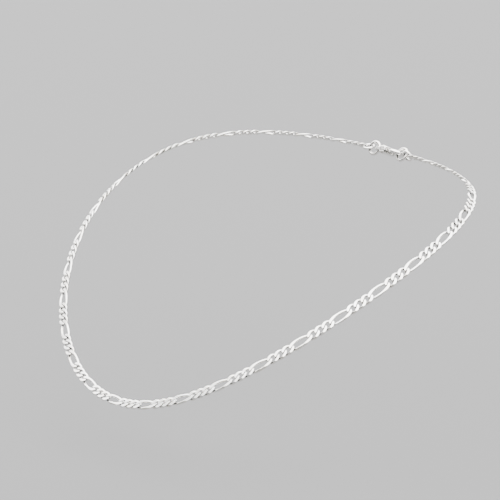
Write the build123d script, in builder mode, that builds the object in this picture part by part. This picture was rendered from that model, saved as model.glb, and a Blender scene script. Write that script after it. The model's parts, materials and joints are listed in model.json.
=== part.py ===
"""Figaro chain necklace, fastened at the nape and lying in its worn loop.

Millimetres. +Z is up, the wearer faces -Y and +X is the wearer's left. The origin is the
centre of the neck opening. The loop's outline is symmetric about the YZ plane: a long link
crosses that plane at the front and the clasp crosses it at the nape. The links' faces lean
a little more on one side of the plane than on the other.
"""
from build123d import *
import math
import os

# Chain: short links in runs of three between single long links.
chain_width = 3.2
wire_diameter = 0.8
chain_thickness = 1.0       # between the two filed faces
short_pitch = 2.62          # how far one short link carries the chain
long_pitch = 6.54           # the same for one long link
hook_gap = 0.14             # free play where two links hook together
link_end_radius = 1.3       # roundness of a link's two ends
half_twist = 48             # degrees each end of a link is twisted from its middle
short_twist_power = 1.0     # a short link twists evenly along its length
long_twist_power = 1.5      # a long link stays flatter in its middle
link_sections = 12          # cross sections lofted through half a link
shorts_per_run = 3
long_links_per_side = 14
rear_groups_per_side = 4    # nodes behind the neck that hold a long link and three short ones

# Worn loop, as sine and cosine terms of the angle round it from the front centre.
width_terms = (71.1, -4.6, -0.3)
depth_terms = (61.4, -0.6, -1.1)
height_terms = (31.4, 8.1, -0.4)
mean_tilt = 55              # degrees the chain's flat face looks up from the horizontal
nape_tilt_change = 6        # more than that at the nape and less at the front
side_tilt_change = 7        # more on the wearer's right and less on the left

# Rings between the chain's ends and the clasp.
small_ring_radius = 1.7     # to the middle of the wire
small_ring_wire = 0.8
small_ring_turn = 38       # degrees round the chain from its flat face
large_ring_radius = 2.15
large_ring_wire = 0.9
large_ring_turn = -86
ring_gap = 0.2
ring_slit = 0.05            # cut where each ring was closed

# Lobster claw, drawn in its own plane with its tail at -X and its lever at -Y.
claw_bar_diameter = 1.4
claw_bar_start = -0.4       # where the round bar leaves the housing
claw_bend_radius = 2.0
claw_nose_length = 0.35
housing_thickness = 2.4
housing_edge_radius = 0.35
housing_tail = (-2.3, 0.2)  # the housing is drawn round three circles
housing_tail_radius = 1.75
housing_neck = (0.1, 1.75)
housing_neck_radius = 0.95
housing_cheek = (-0.9, -0.95)
housing_cheek_radius = 1.15
eye_radius = 0.85
eye_rim = 0.65
eye_thickness = 1.1
slot_width = 1.1
slot_ends = (-3.0, 2.6)     # the slot's tail end and nose end
slot_back = 1.15            # its back wall
slot_corner = (0.4, 0.9)    # cut off the corner between its tail end and back wall

# Lever, its pin and its leaf spring, drawn in the claw's plane.
lever_thickness = 0.9
lever_pivot = (-1.9, -1.0)
lever_hub_radius = 0.85
lever_arm_width = 0.6
lever_tip_overlap = 0.45    # how far the lever's tip reaches past the claw's nose
lever_stop_gap = 0.06
knob_centre = (0.35, -2.2)
knob_radius = 0.75
knob_root = (-0.1, -1.1)
knob_root_radius = 0.6
pin_diameter = 0.8
pin_head_diameter = 1.1
pin_head_height = 0.2
pin_fit = 0.02              # radial clearance of the pin in the housing
lever_fit = 0.05            # radial clearance of the lever on its pin
spring_thickness = 0.14
spring_width = 0.7
spring_wall_gap = 0.04      # between the spring's straight leg and the slot's back wall
spring_leg = (-2.3, -0.2)   # the straight leg's two ends
spring_bend_radius = 0.35
spring_knee = (-0.7, 0.2)
spring_foot = (-1.1, -0.1)
spring_foot_slope = 1.2

wire_radius = wire_diameter / 2


# ---- the worn loop -------------------------------------------------------------------

def loop_point(angle):
    """The point of the half loop at +X, at this angle (radians) round from the front."""
    x = sum(term * math.sin((k + 1) * angle) for k, term in enumerate(width_terms))
    y = -sum(term * math.cos((k + 1) * angle) for k, term in enumerate(depth_terms))
    z = -sum(term * math.cos((k + 1) * angle) for k, term in enumerate(height_terms))
    return Vector(x, y, z)


def solve(error, low, high):
    """The angle between low and high where error changes from negative to positive."""
    for _ in range(60):
        middle = (low + high) / 2
        if error(middle) < 0:
            low = middle
        else:
            high = middle
    return (low + high) / 2


def tilt_at(angle, side):
    """How far the flat face looks up, at this angle on the left (1) or right (-1) side."""
    change = -nape_tilt_change * math.cos(angle) - side * side_tilt_change * math.sin(angle)
    return math.radians(mean_tilt + change)


def chain_plane(start, end, tilt, side):
    """A plane at the middle of one link: X along the chain, Z out of its flat face."""
    along = (end - start).normalized()
    outward = Vector(along.Y * side, -along.X * side, 0).normalized()
    face = outward * math.cos(tilt) + Vector(0, 0, 1) * math.sin(tilt)
    return Plane(origin=(start + end) * 0.5, x_dir=along, z_dir=face - along * face.dot(along))


def turned(plane, degrees):
    """The same plane turned about the chain's own direction."""
    turn = math.radians(degrees)
    normal = plane.z_dir * math.cos(turn) - plane.y_dir * math.sin(turn)
    return Plane(origin=plane.origin, x_dir=plane.x_dir, z_dir=normal)


# ---- links and rings -----------------------------------------------------------------

def make_link(pitch, twist_power):
    """One twisted wire link, long in X, with its two faces filed flat.

    The twist grows towards the ends as the given power of the distance from the middle.
    The link is drawn with a right-handed twist and mirrored, as the chain is left-handed.
    """
    half_length = pitch / 2 + wire_radius + hook_gap / 2
    half_width = chain_width / 2 - wire_radius
    fullness = (half_length - half_width ** 2 / link_end_radius) / 2

    def wire_point(angle):
        x = math.cos(angle) * (half_length + fullness * math.sin(angle) ** 2)
        share = abs(x) / half_length
        twist = math.copysign(math.radians(half_twist) * share ** twist_power, x)
        across = half_width * math.sin(angle)
        return Vector(x, across * math.cos(twist), across * math.sin(twist))

    nudge = 1e-4
    with BuildPart() as half:
        for k in range(link_sections + 1):
            angle = math.pi * k / link_sections
            forward = wire_point(angle + nudge) - wire_point(angle - nudge)
            outward = (math.cos(angle), math.sin(angle), 0)
            with BuildSketch(Plane(origin=wire_point(angle), x_dir=outward, z_dir=forward)):
                Circle(wire_radius)
        loft()
        Box(4 * half_length, 2 * chain_width, chain_thickness, mode=Mode.INTERSECT)
    with BuildPart() as link:
        add(half.part)
        add(half.part, rotation=(180, 0, 0))
    return mirror(link.part, about=Plane.XY)


def make_ring(radius, wire):
    """A round ring in the XY plane, with the fine slit where it was closed at +Y."""
    with BuildPart() as ring:
        with BuildSketch(Plane.XZ) as section:
            with Locations((radius, 0)):
                Circle(wire / 2)
        revolve(axis=Axis.Z)
        with Locations((0, radius, 0)):
            Box(ring_slit, 2 * wire, 2 * wire, mode=Mode.SUBTRACT)
    return ring.part


def place(name, pieces):
    """Write one node: each piece with the planes it stands on."""
    with BuildPart() as node:
        for piece, planes in pieces:
            with Locations(*planes):
                add(piece)
    node.part.label = name
    export_step(node.part, f"parts/{name}.step")


# ---- the chain's path ----------------------------------------------------------------

small_ring_pitch = 2 * small_ring_radius - small_ring_wire - ring_gap
large_ring_pitch = 2 * large_ring_radius - large_ring_wire - ring_gap

front_angle = solve(lambda angle: loop_point(angle).X - long_pitch / 2, 0, 0.3)
pitches = [short_pitch] * shorts_per_run
for _ in range(long_links_per_side):
    pitches += [long_pitch] + [short_pitch] * shorts_per_run
pitches += [small_ring_pitch, large_ring_pitch]

hook_points = [loop_point(front_angle)]
link_angles = []
angle = front_angle
for pitch in pitches:
    last = hook_points[-1]
    previous_angle = angle
    angle = solve(lambda a: (loop_point(a) - last).length - pitch, angle, angle + 0.3)
    link_angles.append((angle + previous_angle) / 2)
    hook_points.append(loop_point(angle))

clasp_end = hook_points[-1]
claw_reach = clasp_end.X    # from the claw's middle to each ring it holds


# ---- lobster claw --------------------------------------------------------------------

def make_claw_body():
    """The claw: an eye tab, a slotted housing and a round bar bent into the hook."""
    bar = claw_bar_diameter / 2
    bend_x = claw_reach + ring_gap / 2 + bar - claw_bend_radius
    nose_x = bend_x - claw_nose_length
    eye_x = eye_radius - claw_reach - ring_gap / 2
    cut_through = 2 * housing_thickness
    with BuildPart() as body:
        with BuildSketch() as housing:
            with Locations(housing_tail):
                Circle(housing_tail_radius)
            with Locations(housing_neck):
                Circle(housing_neck_radius)
            with Locations(housing_cheek):
                Circle(housing_cheek_radius)
            make_hull()
        extrude(amount=housing_thickness / 2, both=True)
        fillet(body.edges().group_by(Axis.Z)[-1], housing_edge_radius)
        fillet(body.edges().group_by(Axis.Z)[0], housing_edge_radius)
        with BuildSketch() as tab:
            with Locations((eye_x, 0), housing_tail):
                Circle(eye_radius + eye_rim)
            make_hull()
        extrude(amount=eye_thickness / 2, both=True)
        with BuildLine() as hook:
            start = (claw_bar_start, claw_bend_radius)
            bend_top = (bend_x, claw_bend_radius)
            bend_bottom = (bend_x, -claw_bend_radius)
            Line(start, bend_top)
            RadiusArc(bend_top, bend_bottom, claw_bend_radius)
            Line(bend_bottom, (nose_x, -claw_bend_radius))
        with BuildSketch(Plane(origin=start, z_dir=(1, 0, 0))):
            Circle(bar)
        sweep()
        with Locations((nose_x, -claw_bend_radius)):
            Sphere(bar)
        with Locations((eye_x, 0)):
            Cylinder(eye_radius, cut_through, mode=Mode.SUBTRACT)
        tail_end, nose_end = slot_ends
        open_side = -2 * claw_bend_radius
        with BuildSketch(Plane.XY.offset(-slot_width / 2)) as slot:
            with BuildLine():
                Polyline(
                    (tail_end, open_side),
                    (tail_end, slot_back - slot_corner[1]),
                    (tail_end + slot_corner[0], slot_back),
                    (nose_end, slot_back),
                    (nose_end, open_side),
                    close=True,
                )
            make_face()
        extrude(amount=slot_width, mode=Mode.SUBTRACT)
        with Locations(lever_pivot):
            Cylinder(pin_diameter / 2 + pin_fit, cut_through, mode=Mode.SUBTRACT)
    return body.part


def make_lever():
    """The thumb lever: a hub on the pin, an arm to the claw's nose and a round knob."""
    tip_x = claw_reach - claw_bend_radius + lever_tip_overlap
    tip_y = claw_bar_diameter / 2 - claw_bend_radius + lever_arm_width / 2 + lever_stop_gap
    with BuildPart() as lever:
        with BuildSketch() as arm:
            with Locations(lever_pivot):
                Circle(lever_hub_radius)
            with Locations((tip_x, tip_y)):
                Circle(lever_arm_width / 2)
            make_hull()
        extrude(amount=lever_thickness / 2, both=True)
        with BuildSketch() as knob:
            with Locations(knob_centre):
                Circle(knob_radius)
            with Locations(knob_root):
                Circle(knob_root_radius)
            make_hull()
        extrude(amount=lever_thickness / 2, both=True)
        with Locations(lever_pivot):
            hole_radius = pin_diameter / 2 + lever_fit
            Cylinder(hole_radius, 2 * lever_thickness, mode=Mode.SUBTRACT)
    return lever.part


def make_lever_pin():
    """The pin the lever turns on, with a low head on each side of the housing."""
    with BuildPart() as pin:
        with Locations(lever_pivot):
            Cylinder(pin_diameter / 2, housing_thickness)
        for face in (-1, 1):
            head_middle = face * (housing_thickness + pin_head_height) / 2
            with Locations((*lever_pivot, head_middle)):
                Cylinder(pin_head_diameter / 2, pin_head_height)
        fillet(pin.edges().group_by(Axis.Z)[-1], pin_head_height / 2)
        fillet(pin.edges().group_by(Axis.Z)[0], pin_head_height / 2)
    return pin.part


def make_lever_spring():
    """The leaf spring: one leg on the slot's back wall, the other on the lever's arm."""
    leg_y = slot_back - spring_wall_gap - spring_thickness / 2
    start = (spring_leg[0], leg_y)
    bend_top = (spring_leg[1], leg_y)
    bend_bottom = (spring_leg[1], leg_y - 2 * spring_bend_radius)
    with BuildPart() as spring:
        with BuildLine():
            Line(start, bend_top)
            RadiusArc(bend_top, bend_bottom, spring_bend_radius)
            Spline(
                bend_bottom, spring_knee, spring_foot,
                tangents=((-1, 0), (-1, -spring_foot_slope)),
            )
        with BuildSketch(Plane(origin=start, x_dir=(0, 1, 0), z_dir=(1, 0, 0))):
            Rectangle(spring_thickness, spring_width)
        sweep()
    return spring.part


# ---- nodes ---------------------------------------------------------------------------

os.makedirs("parts", exist_ok=True)

short_link = make_link(short_pitch, short_twist_power)
long_link = make_link(long_pitch, long_twist_power)
small_ring = make_ring(small_ring_radius, small_ring_wire)
large_ring = make_ring(large_ring_radius, large_ring_wire)

for side_name, side in (("right", -1), ("left", 1)):
    points = [Vector(point.X * side, point.Y, point.Z) for point in hook_points]
    planes = [
        chain_plane(points[k], points[k + 1], tilt_at(link_angles[k], side), side)
        for k in range(len(pitches))
    ]
    period = shorts_per_run + 1
    for run in range(long_links_per_side + 1):
        first = run * period
        short_planes = planes[first:first + shorts_per_run]
        long_plane = planes[first - 1:first]
        rear = run - (long_links_per_side - rear_groups_per_side)
        if rear > 0:
            pieces = [(long_link, long_plane), (short_link, short_planes)]
            place(f"{side_name}_rear_links_{rear:02d}", pieces)
            continue
        if run > 0:
            place(f"{side_name}_long_link_{run:02d}", [(long_link, long_plane)])
        place(f"{side_name}_short_links_{run + 1:02d}", [(short_link, short_planes)])
    small_ring_plane = turned(planes[-2], small_ring_turn)
    large_ring_plane = turned(planes[-1], large_ring_turn)
    place(f"{side_name}_jump_ring", [(small_ring, [small_ring_plane])])
    place(f"{side_name}_clasp_ring", [(large_ring, [large_ring_plane])])

front_start = Vector(-hook_points[0].X, hook_points[0].Y, hook_points[0].Z)
front_plane = chain_plane(front_start, hook_points[0], tilt_at(0, 1), 1)
place("front_long_link", [(long_link, [front_plane])])

nape_tilt = tilt_at(math.pi, 1)
claw_plane = Plane(
    origin=(0, clasp_end.Y, clasp_end.Z),
    x_dir=(1, 0, 0),
    z_dir=(0, math.cos(nape_tilt), math.sin(nape_tilt)),
)
for name, piece in (
    ("claw_body", make_claw_body()),
    ("claw_lever", make_lever()),
    ("claw_lever_pin", make_lever_pin()),
    ("claw_spring", make_lever_spring()),
):
    place(name, [(piece, [claw_plane])])
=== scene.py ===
"""Looks for the figaro chain necklace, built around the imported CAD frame. Metres."""

import json
import math

import bmesh
import bpy
import numpy as np
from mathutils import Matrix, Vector


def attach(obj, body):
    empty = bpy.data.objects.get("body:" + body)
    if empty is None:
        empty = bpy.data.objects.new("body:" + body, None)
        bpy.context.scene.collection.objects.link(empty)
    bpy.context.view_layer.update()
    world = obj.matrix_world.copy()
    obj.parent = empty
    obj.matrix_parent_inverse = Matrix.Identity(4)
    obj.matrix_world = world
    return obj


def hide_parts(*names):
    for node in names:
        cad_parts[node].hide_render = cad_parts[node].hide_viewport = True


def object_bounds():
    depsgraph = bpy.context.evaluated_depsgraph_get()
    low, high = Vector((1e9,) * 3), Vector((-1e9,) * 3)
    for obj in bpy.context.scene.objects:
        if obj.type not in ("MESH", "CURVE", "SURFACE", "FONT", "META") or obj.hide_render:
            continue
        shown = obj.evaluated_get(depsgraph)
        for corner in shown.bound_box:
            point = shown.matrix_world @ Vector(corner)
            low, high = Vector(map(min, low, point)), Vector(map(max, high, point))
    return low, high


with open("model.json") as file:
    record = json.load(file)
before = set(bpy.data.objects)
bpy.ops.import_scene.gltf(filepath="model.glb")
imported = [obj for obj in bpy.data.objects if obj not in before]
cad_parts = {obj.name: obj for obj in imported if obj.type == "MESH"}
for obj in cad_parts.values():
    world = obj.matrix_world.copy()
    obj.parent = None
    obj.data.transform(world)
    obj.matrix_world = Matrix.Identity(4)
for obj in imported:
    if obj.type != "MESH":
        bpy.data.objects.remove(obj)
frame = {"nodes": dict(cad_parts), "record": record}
cad_low, cad_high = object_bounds()

MM = 0.001
SAME_PLACE = 1e-4 * MM          # the frame's vertices closer than this are one

# Chain links: what a link's outline does not say.
WIRE_RADIUS = 0.4 * MM
END_RADIUS = 1.3 * MM
HALF_TWIST = math.radians(-48)
SHORT_TWIST_POWER = 1.0
LONG_TWIST_POWER = 1.5
LONG_LINK_LENGTH = 6 * MM       # links longer than this are the long ones
AROUND_WIRE = 24
SHORT_SECTIONS = 72
LONG_SECTIONS = 104
FILED_EDGE = 0.035 * MM         # softness of the edge round a filed face

# Camera: the viewing angle, and how far off the lens axis the loop's centre sits.
CAMERA_AZIMUTH = math.radians(48.18)
CAMERA_ELEVATION = math.radians(15.34)
CAMERA_DISTANCE = 0.911
CAMERA_LENS = 200.8
CAMERA_SHIFT = (-0.0094, -0.0039)

# Room: bright panels behind the necklace and overhead, and dim walls elsewhere. Each panel
# has its middle's elevation in degrees, and the cosines of the angles from that middle at
# which it starts and is fully bright.
PANELS = ((45, (0.42, 0.95)), (90, (0.40, 0.80)))
PANEL_BRIGHT, ROOM_DIM = 9.0, 0.05

# Floor.
FLOOR_DROP = 16 * MM            # further down than one swing lowers the front link
FLOOR_REACH = 6.0               # half its width
FLOOR_TONE = (0.104, 0.110)


# ---- reading the frame ---------------------------------------------------------------

def islands(node):
    """The separate solids of a CAD node, as lists of (vertices, triangles)."""
    mesh = frame["nodes"][node].data
    mesh.calc_loop_triangles()
    points = np.array([v.co for v in mesh.vertices], float)
    triangles = np.array([t.vertices for t in mesh.loop_triangles], int)
    keys, merged = np.unique(np.round(points / SAME_PLACE), axis=0, return_inverse=True)
    triangles = merged.reshape(-1)[triangles]
    unique_points = keys * SAME_PLACE
    group = np.arange(len(unique_points))
    while True:
        lowest = group[triangles].min(axis=1)
        joined = group.copy()
        for corner in range(3):
            np.minimum.at(joined, triangles[:, corner], lowest)
        joined = joined[joined]
        if (joined == group).all():
            break
        group = joined
    found = []
    for label in np.unique(group[triangles[:, 0]]):
        own = triangles[group[triangles[:, 0]] == label]
        found.append((unique_points, own))
    return found


def principal_frame(points, triangles):
    """Middle, axes (as columns, longest first) and half sizes of one solid's surface."""
    a, b, c = (points[triangles[:, k]] for k in range(3))
    area = np.linalg.norm(np.cross(b - a, c - a), axis=1)
    middle = ((a + b + c) / 3 * area[:, None]).sum(0) / area.sum()
    moment = np.zeros((3, 3))
    for p in ((a + b) / 2, (b + c) / 2, (c + a) / 2):
        moment += ((p - middle) * area[:, None]).T @ (p - middle)
    axes = np.linalg.eigh(moment)[1][:, ::-1]
    outward = np.array([middle[0], middle[1], 0.0]) + np.array([0.0, 0.0, abs(middle[2])])
    if axes[:, 2] @ outward < 0:
        axes[:, 2] *= -1
    round_loop = np.cross([0.0, 0.0, 1.0], middle)
    if axes[:, 0] @ round_loop < 0:
        axes[:, 0] *= -1
    axes[:, 1] = np.cross(axes[:, 2], axes[:, 0])
    local = (points[np.unique(triangles)] - middle) @ axes
    return middle, axes, (local.max(0) - local.min(0)) / 2


# ---- links ---------------------------------------------------------------------------

def is_long(half_size):
    """True for a long link, False for a short one."""
    return 2 * half_size[0] > LONG_LINK_LENGTH


def wire_line(half_size, angle):
    """The middle line of a link's wire at these angles round the link."""
    half_length = half_size[0] - WIRE_RADIUS
    half_width = half_size[1] - WIRE_RADIUS
    fullness = (half_length - half_width ** 2 / END_RADIUS) / 2
    power = LONG_TWIST_POWER if is_long(half_size) else SHORT_TWIST_POWER
    x = np.cos(angle) * (half_length + fullness * np.sin(angle) ** 2)
    twist = np.sign(x) * HALF_TWIST * (np.abs(x) / half_length) ** power
    across = half_width * np.sin(angle)
    return np.stack([x, across * np.cos(twist), across * np.sin(twist)], axis=1)


def filed(height, limit):
    """Heights cut back to the filed face at the limit, with a softly rounded edge."""
    size = np.abs(height)
    over = (size - limit) / FILED_EDGE
    cut = np.where(over > 0, limit - FILED_EDGE * np.log1p(np.exp(-np.abs(over))),
                   size - FILED_EDGE * np.log1p(np.exp(-np.abs(over))))
    return np.sign(height) * np.maximum(cut, 0)


def link_mesh(half_size):
    """Vertices and quads of one link about its own middle, long in X, filed in Z."""
    sections = LONG_SECTIONS if is_long(half_size) else SHORT_SECTIONS
    angle = np.linspace(0, 2 * math.pi, sections, endpoint=False)
    line = wire_line(half_size, angle)
    nudge = 1e-4
    forward = wire_line(half_size, angle + nudge) - wire_line(half_size, angle - nudge)
    forward /= np.linalg.norm(forward, axis=1)[:, None]
    out = np.stack([np.cos(angle), np.sin(angle), 0 * angle], axis=1)
    out -= (out * forward).sum(1)[:, None] * forward
    out /= np.linalg.norm(out, axis=1)[:, None]
    side = np.cross(forward, out)
    turn = np.linspace(0, 2 * math.pi, AROUND_WIRE, endpoint=False)
    rim = WIRE_RADIUS * (out[:, None] * np.cos(turn)[None, :, None]
                         + side[:, None] * np.sin(turn)[None, :, None])
    points = line[:, None] + rim
    points[:, :, 2] = filed(points[:, :, 2], half_size[2])
    k = np.arange(sections)[:, None]
    j = np.arange(AROUND_WIRE)[None, :]
    after, beside = (k + 1) % sections, (j + 1) % AROUND_WIRE
    quads = np.stack([k * AROUND_WIRE + j, after * AROUND_WIRE + j,
                      after * AROUND_WIRE + beside, k * AROUND_WIRE + beside], axis=2)
    return points.reshape(-1, 3), quads.reshape(-1, 4)


def new_piece(name, points, faces, material, body):
    """A smooth-shaded mesh piece that rides on a body."""
    mesh = bpy.data.meshes.new(name)
    mesh.from_pydata([tuple(p) for p in points], [], [tuple(int(i) for i in f) for f in faces])
    mesh.polygons.foreach_set("use_smooth", [True] * len(mesh.polygons))
    mesh.update()
    piece = bpy.data.objects.new(name, mesh)
    bpy.context.scene.collection.objects.link(piece)
    mesh.materials.append(material)
    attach(piece, body)
    return piece


def build_links(node, body, material):
    """Fine-meshed links in place of all the links of one CAD node."""
    all_points, all_quads, start = [], [], 0
    for points, triangles in islands(node):
        middle, axes, half_size = principal_frame(points, triangles)
        local, quads = link_mesh(half_size)
        all_points.append(local @ axes.T + middle)
        all_quads.append(quads + start)
        start += len(local)
    piece = new_piece(node + "_silver", np.concatenate(all_points),
                      np.concatenate(all_quads), material, body)
    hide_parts(node)


# ---- rings ---------------------------------------------------------------------------

RING_SECTIONS = 120
AROUND_RING_WIRE = 28
RING_SLIT = 0.05 * MM
CUT_EDGE = 0.06 * MM            # rounding of the wire's two cut ends
CUT_EDGE_STEPS = (0, 0.1, 0.35, 1.0)


def build_ring(node, body, material):
    """An open ring of round wire with rounded cut ends, in place of a CAD ring."""
    points, triangles = islands(node)[0]
    middle, axes, half_size = principal_frame(points, triangles)
    wire = half_size[2]
    radius = half_size[:2].max() - wire
    local = (points[np.unique(triangles)] - middle) @ axes
    around = np.sort(np.arctan2(local[:, 1], local[:, 0]))
    gaps = np.diff(np.append(around, around[0] + 2 * math.pi))
    slit_angle = around[gaps.argmax()] + gaps.max() / 2
    half_slit = RING_SLIT / 2 / radius
    ring_points, faces = [], []
    travel = np.linspace(half_slit, 2 * math.pi - half_slit, RING_SECTIONS)
    ends = CUT_EDGE / radius * np.array(CUT_EDGE_STEPS)
    travel = np.concatenate([travel[0] + ends, travel[2:-2], travel[-1] - ends[::-1]])
    rounding = 1 - np.sqrt(np.maximum(1 - (1 - ends / ends[-1]) ** 2, 0))
    shrink = np.ones(len(travel))
    shrink[:len(ends)] = 1 - rounding * CUT_EDGE / wire
    shrink[-len(ends):] = shrink[:len(ends)][::-1]
    turn = np.linspace(0, 2 * math.pi, AROUND_RING_WIRE, endpoint=False)
    for angle, share in zip(travel + slit_angle, shrink):
        reach = radius + wire * share * np.cos(turn)
        ring_points.append(np.stack([reach * math.cos(angle), reach * math.sin(angle),
                                     wire * share * np.sin(turn)], axis=1))
    count = len(travel)
    for k in range(count - 1):
        for j in range(AROUND_RING_WIRE):
            beside = (j + 1) % AROUND_RING_WIRE
            faces.append((k * AROUND_RING_WIRE + j, (k + 1) * AROUND_RING_WIRE + j,
                          (k + 1) * AROUND_RING_WIRE + beside, k * AROUND_RING_WIRE + beside))
    faces.append(tuple(range(AROUND_RING_WIRE)))
    last = (count - 1) * AROUND_RING_WIRE
    faces.append(tuple(range(last + AROUND_RING_WIRE - 1, last - 1, -1)))
    piece = new_piece(node + "_silver", np.concatenate(ring_points) @ axes.T + middle, faces,
                      material, body)
    fix_normals(piece)
    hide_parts(node)


def fix_normals(piece):
    """Face directions made consistent and outward."""
    work = bmesh.new()
    work.from_mesh(piece.data)
    bmesh.ops.recalc_face_normals(work, faces=work.faces)
    work.to_mesh(piece.data)
    work.free()


# ---- claw ----------------------------------------------------------------------------

CASTING_GRAIN = 0.055 * MM      # size of the mesh the cast parts are smoothed on
SPRING_GRAIN = 0.03 * MM        # the same for the thin spring
CASTING_SMOOTHING = 6


def build_casting(node, body, material, grain):
    """A cast and tumbled version of a CAD part: same shape, every edge softly rounded."""
    piece = bpy.data.objects.new(node + "_cast", frame["nodes"][node].data.copy())
    bpy.context.scene.collection.objects.link(piece)
    piece.data.materials.clear()
    weld(piece)
    remesh = piece.modifiers.new("Remesh", "REMESH")
    remesh.mode = "VOXEL"
    remesh.voxel_size = grain
    soften = piece.modifiers.new("Smooth", "SMOOTH")
    soften.factor = 0.5
    soften.iterations = CASTING_SMOOTHING
    apply_modifiers(piece)
    piece.data.polygons.foreach_set("use_smooth", [True] * len(piece.data.polygons))
    piece.data.materials.append(material)
    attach(piece, body)
    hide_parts(node)


def weld(piece):
    """Joins the vertices that the frame stores once per face."""
    work = bmesh.new()
    work.from_mesh(piece.data)
    bmesh.ops.remove_doubles(work, verts=work.verts, dist=SAME_PLACE)
    work.to_mesh(piece.data)
    work.free()


def apply_modifiers(piece):
    """Replaces the piece's mesh with the result of its modifiers."""
    evaluated = piece.evaluated_get(bpy.context.evaluated_depsgraph_get())
    mesh = bpy.data.meshes.new_from_object(evaluated)
    piece.modifiers.clear()
    piece.data = mesh


# ---- materials -----------------------------------------------------------------------

POLISH_SCALE, TARNISH_SCALE = 700, 260
POLISH_RANGE = (0.6, 1.5)       # the roughness varies between these shares of its mean
TARNISH_TINT = (0.9, 0.87, 0.81)
TARNISH_EDGES = (0.3, 0.6)
SCRATCH_STRETCH = 0.12          # density of the scratches along their length, 1 being across
SCRATCH_TURN = (0.5, 0.3, 0.2)
SCRATCH_STRENGTH = 0.25
# Painted shade: the base colour is darkened where other surfaces are near, in the hollows and
# between links.
PAINTED_SHADE_REACH = 0.9 * MM        # how near another surface must be for the painted shade
PAINTED_SHADE_OPENNESS = (0.40, 0.92) # from full painted shade to none
PAINTED_SHADE_TONE = 0.12
PAINTED_SHADE_SAMPLES = 8


def silver_material(name, colour, roughness, scratch_scale, scratch_depth):
    """Polished metal: fine rubbed scratches, uneven polish, tarnish, and painted shade in the
    hollows.
    """
    material = bpy.data.materials.new(name)
    material.use_nodes = True
    nodes, links = material.node_tree.nodes, material.node_tree.links
    shader = nodes["Principled BSDF"]
    shader.inputs["Metallic"].default_value = 1.0
    place = nodes.new("ShaderNodeTexCoord")

    polish = nodes.new("ShaderNodeTexNoise")
    polish.inputs["Scale"].default_value = POLISH_SCALE
    polish.inputs["Detail"].default_value = 4
    links.new(place.outputs["Object"], polish.inputs["Vector"])
    sheen = nodes.new("ShaderNodeMapRange")
    sheen.inputs["To Min"].default_value = roughness * POLISH_RANGE[0]
    sheen.inputs["To Max"].default_value = roughness * POLISH_RANGE[1]
    links.new(polish.outputs["Fac"], sheen.inputs["Value"])
    links.new(sheen.outputs["Result"], shader.inputs["Roughness"])

    tarnish = nodes.new("ShaderNodeTexNoise")
    tarnish.inputs["Scale"].default_value = TARNISH_SCALE
    tarnish.inputs["Detail"].default_value = 6
    links.new(place.outputs["Object"], tarnish.inputs["Vector"])
    tint = nodes.new("ShaderNodeValToRGB")
    dull, clean = tint.color_ramp.elements
    dull.position, clean.position = TARNISH_EDGES
    dull.color = (*[c * share for c, share in zip(colour, TARNISH_TINT)], 1)
    clean.color = (*colour, 1)
    links.new(tarnish.outputs["Fac"], tint.inputs["Fac"])

    # Painted shade: ambient occlusion darkens the base colour in the hollows and between
    # links.
    occlusion = nodes.new("ShaderNodeAmbientOcclusion")
    occlusion.inputs["Distance"].default_value = PAINTED_SHADE_REACH
    occlusion.samples = PAINTED_SHADE_SAMPLES
    openness = nodes.new("ShaderNodeMapRange")
    openness.inputs["From Min"].default_value = PAINTED_SHADE_OPENNESS[0]
    openness.inputs["From Max"].default_value = PAINTED_SHADE_OPENNESS[1]
    links.new(occlusion.outputs["AO"], openness.inputs["Value"])
    painted_shade = nodes.new("ShaderNodeMixRGB")
    painted_shade.inputs["Color1"].default_value = (*[c * PAINTED_SHADE_TONE for c in colour], 1)
    links.new(openness.outputs["Result"], painted_shade.inputs["Fac"])
    links.new(tint.outputs["Color"], painted_shade.inputs["Color2"])
    links.new(painted_shade.outputs["Color"], shader.inputs["Base Color"])

    stretch = nodes.new("ShaderNodeMapping")
    stretch.inputs["Scale"].default_value = (1, 1, SCRATCH_STRETCH)
    stretch.inputs["Rotation"].default_value = SCRATCH_TURN
    links.new(place.outputs["Object"], stretch.inputs["Vector"])
    scratches = nodes.new("ShaderNodeTexNoise")
    scratches.inputs["Scale"].default_value = scratch_scale
    scratches.inputs["Detail"].default_value = 3
    links.new(stretch.outputs["Vector"], scratches.inputs["Vector"])
    bump = nodes.new("ShaderNodeBump")
    bump.inputs["Strength"].default_value = SCRATCH_STRENGTH
    bump.inputs["Distance"].default_value = scratch_depth
    links.new(scratches.outputs["Fac"], bump.inputs["Height"])
    links.new(bump.outputs["Normal"], shader.inputs["Normal"])
    return material


def floor_material():
    """Plain pale paper, barely mottled."""
    material = bpy.data.materials.new("floor_paper")
    material.use_nodes = True
    nodes, links = material.node_tree.nodes, material.node_tree.links
    shader = nodes["Principled BSDF"]
    shader.inputs["Roughness"].default_value = 0.9
    mottle = nodes.new("ShaderNodeTexNoise")
    mottle.inputs["Scale"].default_value = 9
    tone = nodes.new("ShaderNodeMapRange")
    tone.inputs["To Min"].default_value = FLOOR_TONE[0]
    tone.inputs["To Max"].default_value = FLOOR_TONE[1]
    links.new(mottle.outputs["Fac"], tone.inputs["Value"])
    links.new(tone.outputs["Result"], shader.inputs["Base Color"])
    return material


# ---- stage ---------------------------------------------------------------------------

def build_floor():
    """A wide pale floor below the loop, which hangs as if still worn."""
    mesh = bpy.data.meshes.new("floor")
    reach, height = FLOOR_REACH, cad_low.z - FLOOR_DROP
    mesh.from_pydata([(-reach, -reach, height), (reach, -reach, height),
                      (reach, reach, height), (-reach, reach, height)], [], [(0, 1, 2, 3)])
    floor = bpy.data.objects.new("floor", mesh)
    bpy.context.scene.collection.objects.link(floor)
    mesh.materials.append(floor_material())


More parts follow.
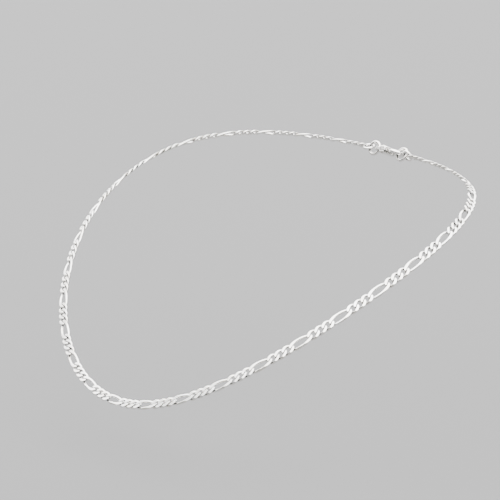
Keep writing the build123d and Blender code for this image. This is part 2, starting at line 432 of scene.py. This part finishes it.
def add_light(name, azimuth, elevation, distance, size, power):
    """A soft square light aimed at the loop's middle."""
    data = bpy.data.lights.new(name, "AREA")
    data.shape = "RECTANGLE"
    data.size, data.size_y = size
    data.energy = power
    light = bpy.data.objects.new(name, data)
    bpy.context.scene.collection.objects.link(light)
    away = direction(math.radians(azimuth), math.radians(elevation))
    light.location = away * distance
    light.rotation_mode = "QUATERNION"
    light.rotation_quaternion = (-away).to_track_quat("-Z", "Y")


def direction(azimuth, elevation):
    """Unit vector from the loop towards a viewer at this azimuth and elevation."""
    return Vector((math.sin(azimuth) * math.cos(elevation),
                   -math.cos(azimuth) * math.cos(elevation), math.sin(elevation)))


def build_world():
    """A dim room with two soft-edged bright panels, overhead and on the far side."""
    world = bpy.data.worlds.new("studio")
    world.use_nodes = True
    nodes, links = world.node_tree.nodes, world.node_tree.links
    place = nodes.new("ShaderNodeTexCoord")
    brightest = nodes.new("ShaderNodeMath")
    brightest.operation = "MAXIMUM"
    for k, (elevation, edges) in enumerate(PANELS):
        facing = nodes.new("ShaderNodeVectorMath")
        facing.operation = "DOT_PRODUCT"
        middle = direction(CAMERA_AZIMUTH + math.pi, math.radians(elevation))
        facing.inputs[1].default_value = middle
        links.new(place.outputs["Generated"], facing.inputs[0])
        light = nodes.new("ShaderNodeMapRange")
        light.interpolation_type = "SMOOTHSTEP"
        light.inputs["From Min"].default_value = edges[0]
        light.inputs["From Max"].default_value = edges[1]
        light.inputs["To Min"].default_value = ROOM_DIM
        light.inputs["To Max"].default_value = PANEL_BRIGHT
        links.new(facing.outputs["Value"], light.inputs["Value"])
        links.new(light.outputs["Result"], brightest.inputs[k])
    background = nodes["Background"]
    links.new(brightest.outputs["Value"], background.inputs["Strength"])
    background.inputs["Color"].default_value = (1.0, 1.0, 1.0, 1)
    bpy.context.scene.world = world


def build_camera():
    """The camera at its viewing angle, with its lens shifted to centre the loop."""
    data = bpy.data.cameras.new("camera")
    data.lens = CAMERA_LENS
    data.shift_x, data.shift_y = CAMERA_SHIFT
    data.clip_start, data.clip_end = 0.05, 20
    camera = bpy.data.objects.new("camera", data)
    bpy.context.scene.collection.objects.link(camera)
    away = direction(CAMERA_AZIMUTH, CAMERA_ELEVATION)
    camera.location = away * CAMERA_DISTANCE
    camera.rotation_mode = "QUATERNION"
    camera.rotation_quaternion = (-away).to_track_quat("-Z", "Y")
    bpy.context.scene.camera = camera


# ---- put together --------------------------------------------------------------------

link_silver = silver_material("link_silver", (0.93, 0.92, 0.90), 0.10, 9000, 0.004 * MM)
ring_silver = silver_material("ring_silver", (0.92, 0.91, 0.89), 0.12, 9000, 0.004 * MM)
clasp_silver = silver_material("clasp_silver", (0.91, 0.90, 0.88), 0.16, 6000, 0.006 * MM)
spring_steel = silver_material("spring_steel", (0.56, 0.57, 0.60), 0.30, 12000, 0.003 * MM)

for body, nodes in frame["record"]["behaviour"]["bodies"].items():
    for node in nodes:
        if "link" in node:
            build_links(node, body, link_silver)
        elif node.endswith("ring") and "claw" not in node:
            build_ring(node, body, ring_silver)
        elif node == "claw_spring":
            build_casting(node, body, spring_steel, SPRING_GRAIN)
        else:
            build_casting(node, body, clasp_silver, CASTING_GRAIN)

build_floor()
build_world()
add_light("key_light", azimuth=20, elevation=62, distance=1.6, size=(0.5, 0.5), power=3)
build_camera()
